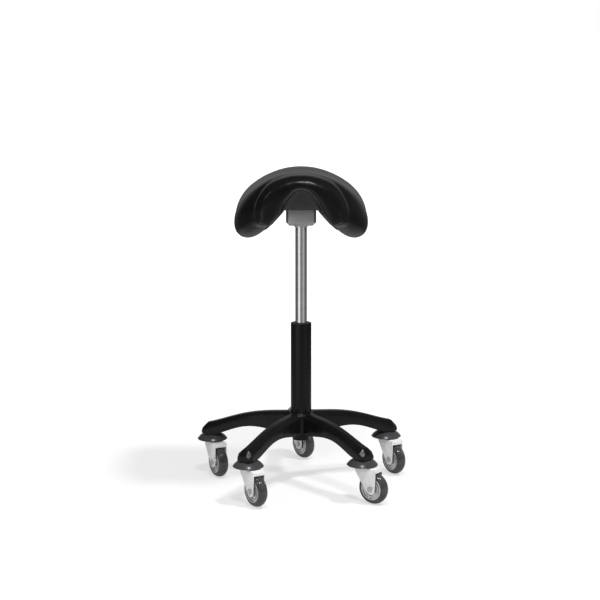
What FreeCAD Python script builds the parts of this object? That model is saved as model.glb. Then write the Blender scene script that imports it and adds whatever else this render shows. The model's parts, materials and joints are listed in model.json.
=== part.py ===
"""Saddle stool on five castors, in millimetres. It stands on the floor at z = 0, +Z up,
with its column on the Z axis and the front of the saddle towards -Y."""
import FreeCAD, Part
import math
import os
import re
import Sketcher
from FreeCAD import Placement, Rotation, Vector

CASTORS = 5

# Driving dimensions: name, value. Lengths in millimetres, angles in degrees.
SIZES = (
    # Column and gas lift
    ("column_radius", 25.0), ("column_wall", 2.0), ("column_top", 392.0), ("column_foot", 104.0),
    ("column_foot_radius", 21.0), ("column_floor", 3.0),
    ("bush_length", 95.0), ("bush_lip", 0.8), ("running_gap", 0.05), ("free_gap", 0.3),
    ("edge_break", 1.0),
    ("cylinder_radius", 14.0), ("cylinder_wall", 2.0), ("cylinder_foot", 325.0), ("cylinder_cap", 3.0),
    ("taper_foot", 626.0), ("taper_rise", 36.0), ("taper_small_radius", 13.0),
    ("gland_height", 10.0), ("valve_height", 14.0), ("valve_step", 1.0), ("valve_pin_radius", 2.5),
    ("valve_pin_top", 668.0), ("valve_pin_length", 16.0),
    ("rod_radius", 5.0), ("rod_neck_radius", 4.0), ("rod_hole_radius", 6.0), ("rod_top", 345.0),
    ("rod_tail", 4.0), ("piston_height", 8.0),
    ("bearing_height", 9.0), ("bearing_radius", 15.0), ("bearing_ball_radius", 2.0),
    ("bearing_balls", 8.0), ("stop_height", 5.0), ("stop_radius", 11.0), ("stop_taper", 1.5),
    ("clip_height", 1.2), ("clip_radius", 9.0),
    # Star base
    ("base_turn", 21.1), ("base_circle", 227.0), ("hub_top", 171.0), ("hub_foot", 125.0),
    ("hub_radius", 33.0), ("hub_foot_radius", 35.0), ("hub_round", 4.0), ("hub_lip_radius", 29.0),
    ("hub_lip", 2.0),
    ("arm_root", 14.0), ("arm_knee", 90.0), ("arm_middle", 150.0), ("arm_ankle", 196.0),
    ("arm_toe", 238.0), ("arm_nose", 250.0),
    ("arm_root_top", 175.0), ("arm_knee_top", 168.0), ("arm_middle_top", 157.0),
    ("arm_ankle_top", 142.5), ("arm_toe_top", 130.0), ("arm_nose_top", 117.0),
    ("arm_root_low", 128.0), ("arm_knee_low", 129.0), ("arm_middle_low", 127.0),
    ("arm_ankle_low", 111.0), ("arm_end_low", 105.0),
    ("arm_half_width", 16.0), ("toe_half_width", 20.0), ("nose_half_width", 15.0),
    ("ridge_half_width", 8.0), ("bevel_drop", 11.0), ("foot_flare", 1.5),
    ("arm_wall", 4.0), ("arm_hollow_start", 40.0), ("arm_hollow_end", 190.0),
    ("stem_radius", 5.5), ("stem_depth", 19.0),
    # Castors
    ("wheel_radius", 37.5), ("wheel_half_width", 12.0), ("castor_trail", 32.4),
    ("tyre_inner_radius", 26.5), ("tyre_round", 2.5), ("tread_radius", 15.0),
    ("hub_face_half_width", 10.0), ("hub_rib_radius", 20.0), ("hub_rib_height", 2.0),
    ("hub_rib_width", 2.5), ("boss_radius", 9.0), ("axle_radius", 4.0), ("axle_head_radius", 6.5),
    ("axle_head_height", 4.0), ("axle_nut_height", 4.5), ("axle_tail", 1.5),
    ("disc_radius", 36.7), ("disc_rim", 89.6), ("disc_rim_half", 1.2), ("disc_neck_radius", 17.0),
    ("disc_dome_radius", 30.0), ("disc_collar", 2.0), ("disc_seat", 93.0), ("disc_seat_radius", 18.0),
    ("flange_radius", 14.0), ("flange_height", 3.0),
    ("crown_top", 87.0), ("fork_sheet", 2.2), ("fork_inner_half", 14.2), ("fork_back", 46.0),
    ("fork_front", 10.0), ("fork_front_drop", 9.0), ("fork_front_turn", 35.0), ("fork_back_drop", 22.0),
    ("fork_back_turn", 10.0), ("fork_skirt", 76.0), ("fork_eye_radius", 12.5), ("fork_bend", 3.0),
    ("raceway_radius", 16.0), ("rivet_radius", 8.5), ("rivet_height", 2.5), ("rivet_shank", 4.5),
    ("swivel_ball_radius", 1.45), ("swivel_ball_circle", 11.0), ("swivel_balls", 10.0),
    ("castor_yaw_first", 55.3), ("castor_yaw_second", 54.6), ("castor_yaw_third", 61.3),
    ("castor_yaw_fourth", 55.7), ("castor_yaw_fifth", 35.4),
    # Mount and lever
    ("mount_half_width", 36.0), ("mount_front", 36.0), ("mount_back", 62.0), ("mount_top", 676.0),
    ("mount_foot", 631.6), ("mount_bevel", 8.0), ("mount_corner", 6.0), ("mount_wall", 3.0),
    ("collar_radius", 17.0), ("socket_top", 658.0), ("plate_height", 4.0), ("plate_half_width", 40.0),
    ("plate_front", 42.0), ("plate_back", 82.0), ("screw_radius", 3.0), ("screw_head_radius", 5.6),
    ("screw_head_height", 2.8), ("screw_key_radius", 2.1), ("screw_key_depth", 2.2), ("screw_side", 28.0),
    ("screw_front", 28.0), ("screw_back", 70.0),
    ("nut_radius", 4.5), ("nut_height", 5.0), ("nut_flange_radius", 9.0), ("nut_flange_height", 1.5),
    ("pivot_y", 25.0), ("pivot_z", 656.0), ("pivot_radius", 3.0), ("lever_half_width", 7.0),
    ("lever_thick", 4.0), ("lever_tip", 6.0), ("lever_boss", 6.5), ("lever_end", 150.0),
    ("lever_end_drop", 5.0),
    ("lever_slot_gap", 2.0), ("lever_lift", 8.0), ("grip_length", 48.0), ("grip_tail", 12.0),
    ("grip_half_width", 16.0), ("grip_thick", 9.0), ("grip_wall", 3.0), ("grip_corner", 5.0),
    ("pin_gap", 0.2),
    # Saddle: stations from the pommel at the front to the cantle at the back
    ("pommel_y", -148.0), ("shoulder_y", -100.0), ("bed_front_y", -45.0), ("bed_middle_y", 20.0),
    ("bed_back_y", 85.0), ("cantle_y", 138.0),
    ("pommel_crown", 766.0), ("shoulder_crown", 765.0), ("bed_crown", 761.0), ("cantle_crown", 757.0),
    ("pommel_half_width", 110.0), ("shoulder_half_width", 138.0), ("bed_half_width", 159.0),
    ("cantle_half_width", 151.0),
    ("pommel_arch", 150.0), ("shoulder_arch", 172.0), ("bed_arch", 192.0), ("cantle_arch", 185.0),
    ("pommel_bend", 75.0), ("shoulder_bend", 88.0), ("bed_bend", 104.0), ("cantle_bend", 98.0),
    ("pommel_tip", 15.0), ("shoulder_tip", 22.0), ("bed_tip", 30.0), ("cantle_tip", 25.0),
    ("pommel_droop", 22.0), ("shoulder_droop", 16.0), ("bed_droop", 12.0), ("cantle_droop", 10.0),
    ("pommel_under", 733.0), ("shoulder_under", 704.0), ("bed_under", 672.0), ("cantle_under", 694.0),
    ("pommel_flat", 1.0), ("shoulder_flat", 18.0), ("bed_flat", 44.0), ("cantle_flat", 30.0),
    ("pommel_corner", 22.0), ("shoulder_corner", 20.0), ("bed_corner", 16.0), ("cantle_corner", 18.0),
    ("roll_depth", 24.0), ("roll_above", 20.0), ("roll_below", 4.0), ("cover_thick", 1.5),
    ("shell_thick", 15.0), ("shell_flank", 44.0), ("wrap_flank", 52.0), ("piping_radius", 2.0), ("piping_proud", 0.9),
)
NAMES = dict(SIZES)

doc = FreeCAD.newDocument("saddle_stool")
sheet = doc.addObject("Spreadsheet::Sheet", "Sizes")
for row, (alias, number) in enumerate(SIZES, start=1):
    sheet.set("A%d" % row, alias)
    sheet.set("B%d" % row, str(number))
    sheet.setAlias("B%d" % row, alias)
doc.recompute()

PIECES = []


def cell(text):
    """The expression with each driving dimension written as its spreadsheet cell."""
    return re.sub(r"[a-z_]+", lambda word: "Sizes." + word.group() if word.group() in NAMES
                  else word.group(), text)


def value(text):
    """The expression's number."""
    return float(sheet.evalExpression(cell(text)))


def keep(piece, label):
    """Name a finished piece and keep it as a node."""
    piece.Label = label
    PIECES.append(piece)
    return piece


def new_body(label):
    return keep(doc.addObject("PartDesign::Body", label), label)


def origin_plane(body, role):
    return next(item for item in body.Origin.OriginFeatures if item.Role == role)


def arc_between(start, end, radius, side):
    """Arc from start to end, bulging to the left (side 1) or the right (side -1)."""
    chord = end - start
    half = chord.Length / 2
    sagitta = radius - math.sqrt(max(radius * radius - half * half, 0.0))
    left = Vector(-chord.y, chord.x, 0).normalize()
    return Part.ArcOfCircle(start, (start + end) / 2 + left * (side * sagitta), end)


def outline(body, role, corners, offset=None):
    """Closed sketch on an origin plane. A corner is a pair of expressions; a corner with a
    third and fourth item starts an arc of that radius, bulging left (1) or right (-1)."""
    sketch = body.newObject("Sketcher::SketchObject", "outline")
    sketch.AttachmentSupport = [(origin_plane(body, role), "")]
    sketch.MapMode = "FlatFace"
    if offset:
        sketch.setExpression("AttachmentOffset.Base.z", cell(offset))
    points = [Vector(value(corner[0]), value(corner[1]), 0) for corner in corners]
    count = len(points)
    ends = []
    for index, corner in enumerate(corners):
        start = points[index]
        end = points[(index + 1) % count]
        if len(corner) == 4:
            arc = arc_between(start, end, value(corner[2]), corner[3])
            sketch.addGeometry(arc)
            forward = arc.StartPoint.distanceToPoint(start) < arc.EndPoint.distanceToPoint(start)
            ends.append((1, 2) if forward else (2, 1))
        else:
            sketch.addGeometry(Part.LineSegment(start, end))
            ends.append((1, 2))
    for index, corner in enumerate(corners):
        after = (index + 1) % count
        sketch.addConstraint(
            Sketcher.Constraint("Coincident", index, ends[index][1], after, ends[after][0]))
        for kind, text, number in (("DistanceX", corner[0], points[index].x),
                                   ("DistanceY", corner[1], points[index].y)):
            place = sketch.addConstraint(
                Sketcher.Constraint(kind, -1, 1, index, ends[index][0], number))
            sketch.setExpression("Constraints[%d]" % place, cell(text))
        if len(corner) == 4:
            place = sketch.addConstraint(Sketcher.Constraint("Radius", index, value(corner[2])))
            sketch.setExpression("Constraints[%d]" % place, cell(corner[2]))
    return sketch


def circle(body, role, centre, radius, offset=None):
    """Round sketch on an origin plane, centred at a pair of expressions."""
    sketch = body.newObject("Sketcher::SketchObject", "circle")
    sketch.AttachmentSupport = [(origin_plane(body, role), "")]
    sketch.MapMode = "FlatFace"
    if offset:
        sketch.setExpression("AttachmentOffset.Base.z", cell(offset))
    middle = Vector(value(centre[0]), value(centre[1]), 0)
    sketch.addGeometry(Part.Circle(middle, Vector(0, 0, 1), value(radius)))
    for kind, text, number in (("DistanceX", centre[0], middle.x), ("DistanceY", centre[1], middle.y)):
        place = sketch.addConstraint(Sketcher.Constraint(kind, -1, 1, 0, 3, number))
        sketch.setExpression("Constraints[%d]" % place, cell(text))
    place = sketch.addConstraint(Sketcher.Constraint("Radius", 0, value(radius)))
    sketch.setExpression("Constraints[%d]" % place, cell(radius))
    return sketch


def extrude(body, kind, sketch, length, both_ways=False, backwards=False):
    """Pad or Pocket of a sketch by a length expression."""
    feature = body.newObject("PartDesign::" + kind, kind.lower())
    feature.Profile = sketch
    feature.SideType = "Symmetric" if both_ways else "One side"
    feature.Reversed = backwards
    feature.setExpression("Length", cell(length))
    return feature


def revolve(body, corners, role="XZ_Plane"):
    """Full turn of an outline about the plane's upright axis."""
    sketch = outline(body, role, corners)
    turn = body.newObject("PartDesign::Revolution", "turn")
    turn.Profile = sketch
    turn.ReferenceAxis = (sketch, ["V_Axis"])
    turn.Angle = 360
    return turn


def turned(label, corners, role="XZ_Plane"):
    """A piece that is one full turn of an outline."""
    body = new_body(label)
    revolve(body, corners, role)
    return body


def loft(body, kind, sketches, ruled=False):
    feature = body.newObject("PartDesign::" + kind, "loft")
    feature.Profile = sketches[0]
    feature.Sections = sketches[1:]
    feature.Ruled = ruled
    return feature


def five_times(body, features):
    """Repeat features once for each arm about the upright axis."""
    pattern = body.newObject("PartDesign::PolarPattern", "around")
    pattern.Originals = features
    pattern.Axis = (origin_axis(body), [""])
    pattern.Angle = 360
    pattern.Occurrences = CASTORS
    body.Tip = pattern
    return pattern


def origin_axis(body):
    return next(item for item in body.Origin.OriginFeatures if item.Role == "Z_Axis")


def place(piece, along, across, up, turn):
    """Bind a piece's place and its turn about Z to the sheet."""
    piece.Placement = Placement(Vector(0, 0, 0), Rotation(Vector(0, 0, 1), 1.0))
    piece.setExpression(".Placement.Base.x", cell(along))
    piece.setExpression(".Placement.Base.y", cell(across))
    piece.setExpression(".Placement.Base.z", cell(up))
    piece.setExpression(".Placement.Rotation.Angle", cell(turn))


def made(label, shape):
    """A piece whose shape is made from lofts and cuts."""
    piece = doc.addObject("Part::Feature", label)
    piece.Shape = shape
    return keep(piece, label)


# Star base
SECTIONS = (
    ("arm_root", "arm_root_top", "arm_root_low", "arm_half_width"),
    ("arm_knee", "arm_knee_top", "arm_knee_low", "arm_half_width"),
    ("arm_middle", "arm_middle_top", "arm_middle_low", "arm_half_width"),
    ("arm_ankle", "arm_ankle_top", "arm_ankle_low", "arm_half_width + foot_flare"),
    ("arm_toe", "arm_toe_top", "arm_end_low", "toe_half_width"),
)


def arm_section(body, reach, top, low, half):
    """Bevelled section of an arm: a narrow flat ridge over sides that flare downwards."""
    return outline(body, "YZ_Plane", (
        ("-(%s) - foot_flare" % half, low), ("%s + foot_flare" % half, low),
        (half, "%s - bevel_drop" % top), ("ridge_half_width", top),
        ("-ridge_half_width", top), ("-(%s)" % half, "%s - bevel_drop" % top)), reach)


def hollow_section(body, reach, top, half):
    """Section of the hollow under an arm, one wall inside it and open below."""
    inner = "(%s - arm_wall)" % half
    return outline(body, "YZ_Plane", (
        ("-" + inner, "arm_end_low - arm_wall"), (inner, "arm_end_low - arm_wall"),
        (inner, "%s - bevel_drop - arm_wall" % top), ("-" + inner, "%s - bevel_drop - arm_wall" % top)),
        reach)


def star_base():
    body = new_body("star_base")
    arm = loft(body, "AdditiveLoft", [arm_section(body, *names) for names in SECTIONS])
    nose = loft(body, "AdditiveLoft", (
        arm_section(body, "arm_toe", "arm_toe_top", "arm_end_low", "toe_half_width"),
        outline(body, "YZ_Plane", (
            ("-nose_half_width", "arm_end_low"), ("nose_half_width", "arm_end_low"),
            ("nose_half_width", "arm_nose_top - bevel_drop / 2"), ("ridge_half_width", "arm_nose_top"),
            ("-ridge_half_width", "arm_nose_top"), ("-nose_half_width", "arm_nose_top - bevel_drop / 2")),
            "arm_nose")), ruled=True)
    hollow = loft(body, "SubtractiveLoft", (
        hollow_section(body, "arm_hollow_start", "arm_knee_top", "arm_half_width"),
        hollow_section(body, "arm_middle", "arm_middle_top", "arm_half_width"),
        hollow_section(body, "arm_hollow_end", "arm_ankle_top", "arm_half_width")))
    stem_hole = extrude(body, "Pocket", circle(body, "XY_Plane", ("base_circle", "0"), "stem_radius",
                                               "arm_end_low"), "stem_depth", backwards=True)
    five_times(body, [arm, nose, hollow, stem_hole])
    taper = "(column_radius - column_foot_radius) / (hub_top - column_foot)"
    revolve(body, (
        ("rod_radius", "hub_foot"), ("hub_foot_radius", "hub_foot"), ("hub_radius", "hub_top - hub_round"),
        ("hub_lip_radius + edge_break", "hub_top"), ("hub_lip_radius", "hub_top + hub_lip"),
        ("rod_radius", "hub_top + hub_lip")))
    bore = body.newObject("PartDesign::Groove", "bore")
    sketch = outline(body, "XZ_Plane", (
        ("0", "hub_foot - hub_round"),
        ("column_radius - (hub_top - hub_foot + hub_round) * " + taper, "hub_foot - hub_round"),
        ("column_radius", "hub_top"), ("column_radius", "hub_top + 2 * hub_lip"),
        ("0", "hub_top + 2 * hub_lip")))
    bore.Profile = sketch
    bore.ReferenceAxis = (sketch, ["V_Axis"])
    bore.Angle = 360
    extrude(body, "Pocket", outline(body, "XY_Plane", (
        ("-2 * base_circle", "-2 * base_circle"), ("2 * base_circle", "-2 * base_circle"),
        ("2 * base_circle", "2 * base_circle"), ("-2 * base_circle", "2 * base_circle")), "arm_end_low"),
        "stem_depth")
    body.Placement = Placement(Vector(0, 0, 0), Rotation(Vector(0, 0, 1), 1.0))
    body.setExpression(".Placement.Rotation.Angle", cell("base_turn"))


def column():
    inner = "column_radius - column_wall"
    turned("column_tube", (
        ("rod_hole_radius", "column_foot"), ("column_foot_radius", "column_foot"),
        ("column_radius", "hub_top"), ("column_radius", "column_top"), (inner, "column_top"),
        (inner, "hub_top"), ("column_foot_radius - column_wall", "column_foot + column_floor"),
        ("rod_hole_radius", "column_foot + column_floor")))
    hole = "cylinder_radius + running_gap"
    turned("guide_bush", (
        (hole, "column_top - bush_length"), (inner, "column_top - bush_length"),
        (inner, "column_top"), (inner, "column_top + bush_lip"), (hole, "column_top + bush_lip")))


def gas_lift():
    floor = "column_foot + column_floor"
    turned("piston_rod", (
        ("0", "column_foot - rod_tail"), ("rod_radius", "column_foot - rod_tail"),
        ("rod_radius", "rod_top - piston_height"), ("rod_neck_radius", "rod_top - piston_height"),
        ("rod_neck_radius", "rod_top"), ("0", "rod_top")))
    turned("piston", (
        ("rod_neck_radius", "rod_top - piston_height"),
        ("cylinder_radius - cylinder_wall - running_gap", "rod_top - piston_height"),
        ("cylinder_radius - cylinder_wall - running_gap", "rod_top"), ("rod_neck_radius", "rod_top")))
    turned("bump_stop", (
        ("rod_radius", floor + " + bearing_height"), ("stop_radius", floor + " + bearing_height"),
        ("stop_radius - stop_taper", floor + " + bearing_height + stop_height"),
        ("rod_radius", floor + " + bearing_height + stop_height")))
    turned("retaining_clip", (
        ("rod_radius", "column_foot - clip_height - free_gap"),
        ("clip_radius", "column_foot - clip_height - free_gap"),
        ("clip_radius", "column_foot - free_gap"), ("rod_radius", "column_foot - free_gap")))
    radius = value("bearing_ball_radius")
    ring = value("(rod_radius + bearing_radius) / 2")
    count = int(value("bearing_balls"))
    balls = []
    for index in range(count):
        turn = 2 * math.pi * index / count
        balls.append(Part.makeSphere(radius, Vector(ring * math.cos(turn), ring * math.sin(turn),
                                                    value(floor + " + bearing_ball_radius + running_gap"))))
    race_foot = value(floor + " + 2 * bearing_ball_radius + 2 * running_gap")
    race_height = value(floor + " + bearing_height") - race_foot
    upright = Vector(0, 0, 1)
    race = Part.makeCylinder(value("bearing_radius"), race_height, upright * race_foot, upright).cut(
        Part.makeCylinder(value("rod_radius"), race_height, upright * race_foot, upright))
    made("thrust_bearing", Part.makeCompound(balls + [race]))


def cylinder():
    inner = "cylinder_radius - cylinder_wall"
    top = "taper_foot + taper_rise"
    turned("gas_cylinder", (
        (inner, "cylinder_foot"), ("cylinder_radius", "cylinder_foot"), ("cylinder_radius", "taper_foot"),
        ("taper_small_radius", top), ("valve_pin_radius + valve_step", top),
        ("valve_pin_radius + valve_step", top + " - cylinder_cap"),
        (inner + " - valve_step", top + " - cylinder_cap"), (inner + " - valve_step", "taper_foot"),
        (inner, "taper_foot - cylinder_wall")))
    turned("cylinder_gland", (
        ("rod_radius + running_gap", "cylinder_foot"), (inner, "cylinder_foot"),
        (inner, "cylinder_foot + gland_height"),
        ("rod_radius + running_gap", "cylinder_foot + gland_height")))
    valve_top = top + " - cylinder_cap"
    turned("valve_body", (
        ("valve_pin_radius + running_gap", valve_top + " - valve_height"),
        (inner + " - valve_step", valve_top + " - valve_height"), (inner + " - valve_step", valve_top),
        ("valve_pin_radius + running_gap", valve_top)))
    turned("valve_pin", (
        ("0", "valve_pin_top - valve_pin_length"), ("valve_pin_radius", "valve_pin_top - valve_pin_length"),
        ("valve_pin_radius", "valve_pin_top - edge_break"),
        ("valve_pin_radius - edge_break", "valve_pin_top"),
        ("0", "valve_pin_top")))


def octagon(body, inset, level):
    """The mount box's outline with cut corners, drawn in by an inset at a level."""
    side = "(mount_half_width - %s)" % inset
    front = "(mount_front - %s)" % inset
    back = "(mount_back - %s)" % inset
    cut = "(mount_corner - (2 - sqrt(2)) * %s)" % inset
    return outline(body, "XY_Plane", (
        ("-%s + %s" % (side, cut), "-" + front), ("%s - %s" % (side, cut), "-" + front),
        (side, "-%s + %s" % (front, cut)), (side, "%s - %s" % (back, cut)),
        ("%s - %s" % (side, cut), back), ("-%s + %s" % (side, cut), back),
        ("-" + side, "%s - %s" % (back, cut)), ("-" + side, "-%s + %s" % (front, cut))), level)


def mount():
    """Pressed steel box with bevelled foot and corners, its collar, plate, socket and pivot."""
    body = new_body("mount_housing")
    extrude(body, "Pad", octagon(body, "0", "mount_foot + mount_bevel"),
            "mount_top - mount_foot - mount_bevel")
    loft(body, "AdditiveLoft", (octagon(body, "mount_bevel", "mount_foot"),
                                octagon(body, "0", "mount_foot + mount_bevel")), ruled=True)
    extrude(body, "Pocket", octagon(body, "mount_wall", "mount_top"),
            "mount_top - mount_foot - mount_bevel - mount_wall")
    extrude(body, "Pocket", circle(body, "XY_Plane", ("0", "0"), "collar_radius", "mount_top"),
            "mount_top - mount_foot + mount_wall")
    slot_top = "pivot_z + lever_thick / 2 + (mount_back - pivot_y) * tan(lever_lift) + lever_slot_gap"
    slot_foot = "pivot_z - lever_thick / 2 - lever_end_drop - lever_slot_gap"
    slot_side = "lever_half_width + lever_slot_gap"
    extrude(body, "Pocket", outline(body, "XZ_Plane", (
        ("-(%s)" % slot_side, slot_foot), (slot_side, slot_foot), (slot_side, slot_top),
        ("-(%s)" % slot_side, slot_top)), "-mount_back - mount_wall"), "3 * mount_wall", backwards=True)
    extrude(body, "Pocket", circle(body, "YZ_Plane", ("pivot_y", "pivot_z"), "pivot_radius"),
            "3 * mount_half_width", both_ways=True)

    turned("taper_socket", (
        ("cylinder_radius", "taper_foot"), ("collar_radius - edge_break", "taper_foot"),
        ("collar_radius", "taper_foot + edge_break"),
        ("collar_radius", "socket_top"),
        ("cylinder_radius - (socket_top - taper_foot) / taper_rise * (cylinder_radius - taper_small_radius)",
         "socket_top")))

    plate = new_body("mount_plate")
    extrude(plate, "Pad", outline(plate, "XY_Plane", (
        ("-plate_half_width", "-plate_front"), ("plate_half_width", "-plate_front"),
        ("plate_half_width", "plate_back"), ("-plate_half_width", "plate_back")), "mount_top"),
        "plate_height")
    for across in ("-screw_side", "screw_side"):
        for along in ("-screw_front", "screw_back"):
            spot = (across, along)
            extrude(plate, "Pocket", circle(plate, "XY_Plane", spot, "screw_radius", "mount_top"),
                    "plate_height", backwards=True)
            extrude(plate, "Pocket", circle(plate, "XY_Plane", spot, "screw_head_radius", "mount_top"),
                    "screw_head_height", backwards=True)

    pin = new_body("lever_pivot")
    extrude(pin, "Pad", circle(pin, "YZ_Plane", ("pivot_y", "pivot_z"), "pivot_radius"),
            "2 * mount_half_width", both_ways=True)


def screw_spots():
    """Centres of the four seat screws."""
    return [Vector(side * value("screw_side"), along, 0) for side in (-1, 1)
            for along in (-value("screw_front"), value("screw_back"))]


def seat_fasteners():
    """Four flush screws up through the plate into four tee nuts in the shell."""
    up = Vector(0, 0, 1)
    screws = []
    nuts = []
    base = value("mount_top")
    thread = value("screw_radius")
    nut_foot = base + value("plate_height")
    length = value("plate_height") + value("nut_height")
    for spot in screw_spots():
        head = Part.makeCylinder(value("screw_head_radius"), value("screw_head_height"),
                                 spot + up * base, up)
        shank = Part.makeCylinder(thread, length, spot + up * base, up)
        socket = Part.makeCylinder(value("screw_key_radius"), value("screw_key_depth"),
                                   spot + up * base, up)
        screws.append(head.fuse(shank).cut(socket))
        barrel = Part.makeCylinder(value("nut_radius"), value("nut_height"), spot + up * nut_foot, up)
        flange = Part.makeCylinder(value("nut_flange_radius"), value("nut_flange_height"),
                                   spot + up * (nut_foot + value("nut_height")), up)
        bore = Part.makeCylinder(thread, length * 2, spot + up * base, up)
        nuts.append(barrel.fuse(flange).cut(bore))
    made("seat_screws", Part.makeCompound(screws))
    made("tee_nuts", Part.makeCompound(nuts))


def lever():
    """Cranked release lever: its front tip lies over the valve pin, its grip points backwards."""
    body = new_body("lever_arm")
    half = "lever_thick / 2"
    under = "valve_pin_top + pin_gap"
    crank = "(pivot_y + lever_boss + lever_thick)"
    extrude(body, "Pad", outline(body, "YZ_Plane", (
        ("-lever_tip", under), ("pivot_y - lever_boss - edge_break", under),
        ("pivot_y - lever_boss", "pivot_z + lever_thick"), ("pivot_y - lever_boss", "pivot_z - lever_boss"),
        ("pivot_y + lever_boss", "pivot_z - lever_boss"), (crank, "pivot_z - " + half),
        ("lever_end", "pivot_z - lever_end_drop - " + half),
        ("lever_end", "pivot_z - lever_end_drop + " + half),
        (crank, "pivot_z + " + half), ("pivot_y + lever_boss", "pivot_z + lever_boss"),
        ("pivot_y", "pivot_z + lever_boss"),
        ("pivot_y - lever_boss + lever_thick", under + " + lever_thick"),
        ("-lever_tip", under + " + lever_thick"))), "2 * lever_half_width", both_ways=True)
    extrude(body, "Pocket", circle(body, "YZ_Plane", ("pivot_y", "pivot_z"), "pivot_radius + running_gap"),
            "4 * lever_half_width", both_ways=True)

    grip = new_body("lever_grip")
    grip_start = "lever_end - grip_length + grip_tail"
    extrude(grip, "Pad", outline(grip, "XY_Plane", (
        ("-lever_half_width - grip_wall", grip_start), ("lever_half_width + grip_wall", grip_start),
        ("grip_half_width", "lever_end - grip_length / 2 + grip_tail / 2"),
        ("grip_half_width", "lever_end + grip_tail - grip_corner"),
        ("grip_half_width - grip_corner", "lever_end + grip_tail"),
        ("-grip_half_width + grip_corner", "lever_end + grip_tail"),
        ("-grip_half_width", "lever_end + grip_tail - grip_corner"),
        ("-grip_half_width", "lever_end - grip_length / 2 + grip_tail / 2")),
        "pivot_z - lever_end_drop"), "grip_thick", both_ways=True)
    inside = "(lever_end - grip_length)"
    level = "pivot_z - lever_end_drop * (%s - %s) / (lever_end - %s)" % (inside, crank, crank)
    extrude(grip, "Pocket", outline(grip, "YZ_Plane", (
        (inside, level + " - " + half), ("lever_end", "pivot_z - lever_end_drop - " + half),
        ("lever_end", "pivot_z - lever_end_drop + " + half), (inside, level + " + " + half))),
        "2 * lever_half_width", both_ways=True)


# Saddle
STATIONS = (
    ("pommel_y", "pommel"), ("shoulder_y", "shoulder"), ("bed_front_y", "bed"), ("bed_middle_y", "bed"),
    ("bed_back_y", "bed"), ("cantle_y", "cantle"),
)
END_TURNS = (90, 60, 30)
SEAM_TURN = (30,)


class Section:
    """Arched section of the saddle at one station, drawn in from above and from below."""

    def __init__(self, along, name, above, below):
        crown, half_width, arch, bend, tip, droop, under, flat, corner = [
            value(name + "_" + key) for key in (
                "crown", "half_width", "arch", "bend", "tip", "droop", "under", "flat", "corner")]
        self.along = along
        self.arch_middle = (0.0, crown - arch)
        self.turn = math.acos((half_width - bend) / (arch - bend))
        self.bend_middle = (half_width - bend, crown - arch + (arch - bend) * math.sin(self.turn))
        self.droop = -math.radians(droop)
        self.arch = arch - above
        self.bend = bend - above
        self.tip = tip - (above + below) / 2
        self.corner = corner + below
        reach = self.bend - self.tip
        self.tip_middle = (self.bend_middle[0] + reach * math.cos(self.droop),
                           self.bend_middle[1] + reach * math.sin(self.droop))
        self.corner_middle = (flat, under - corner)
        right = self.tip_middle[0] - self.corner_middle[0]
        down = self.tip_middle[1] - self.corner_middle[1]
        spread = math.acos((self.corner + self.tip) / math.hypot(right, down))
        self.slope = math.atan2(down, right) + spread

    def point(self, middle, radius, angle, side=1):
        return Vector(side * (middle[0] + radius * math.cos(angle)), self.along,
                      middle[1] + radius * math.sin(angle))

    def flank(self, inset, run, side):
        """Point on the underside's flank, a run below the corner's end, at an inset."""
        start = self.point(self.corner_middle, self.corner + inset, self.slope, side)
        return start + Vector(side * math.sin(self.slope), 0, -math.cos(self.slope)) * run

    def corner_arc(self, inset, side, upwards):
        ends = (self.slope, math.pi / 2) if upwards else (math.pi / 2, self.slope)
        angles = (ends[0], (ends[0] + ends[1]) / 2, ends[1])
        return Part.Arc(*[self.point(self.corner_middle, self.corner + inset, angle, side)
                          for angle in angles]).toShape()

    def wire(self):
        """Closed outline: crown, bends, tips, flanks and the flat bed."""
        edges = [Part.Arc(*[self.point(self.arch_middle, self.arch, angle) for angle in (
            math.pi - self.turn, math.pi / 2, self.turn)]).toShape()]
        heel = self.slope - math.pi
        for side in (1, -1):
            run = [
                Part.Arc(*[self.point(self.bend_middle, self.bend, angle, side) for angle in (
                    self.turn, (self.turn + self.droop) / 2, self.droop)]).toShape(),
                Part.Arc(*[self.point(self.tip_middle, self.tip, angle, side) for angle in (
                    self.droop, (self.droop + heel) / 2, heel)]).toShape(),
                Part.makeLine(self.point(self.tip_middle, self.tip, heel, side), self.flank(0, 0, side)),
                self.corner_arc(0, side, upwards=True),
            ]
            edges += run if side == 1 else run[::-1]
        edges.insert(5, Part.makeLine(self.point(self.corner_middle, self.corner, math.pi / 2),
                                      self.point(self.corner_middle, self.corner, math.pi / 2, -1)))
        return Part.Wire(Part.__sortEdges__(edges))

    def under_edges(self, inset, run):
        """Open path along the underside, from the left flank over the bed to the right."""
        return [
            Part.makeLine(self.flank(inset, run, -1), self.flank(inset, 0, -1)),
            self.corner_arc(inset, -1, upwards=True),
            Part.makeLine(self.point(self.corner_middle, self.corner + inset, math.pi / 2, -1),
                          self.point(self.corner_middle, self.corner + inset, math.pi / 2)),
            self.corner_arc(inset, 1, upwards=False),
            Part.makeLine(self.flank(inset, 0, 1), self.flank(inset, run, 1)),
        ]

    def band(self, low, high, run):
        """Closed outline of a band that follows the underside between two insets."""
        edges = self.under_edges(low, run) + self.under_edges(high, run)
        for side in (1, -1):
            edges.append(Part.makeLine(self.flank(low, run, side), self.flank(high, run, side)))
        return Part.Wire(Part.__sortEdges__(edges))


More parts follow.
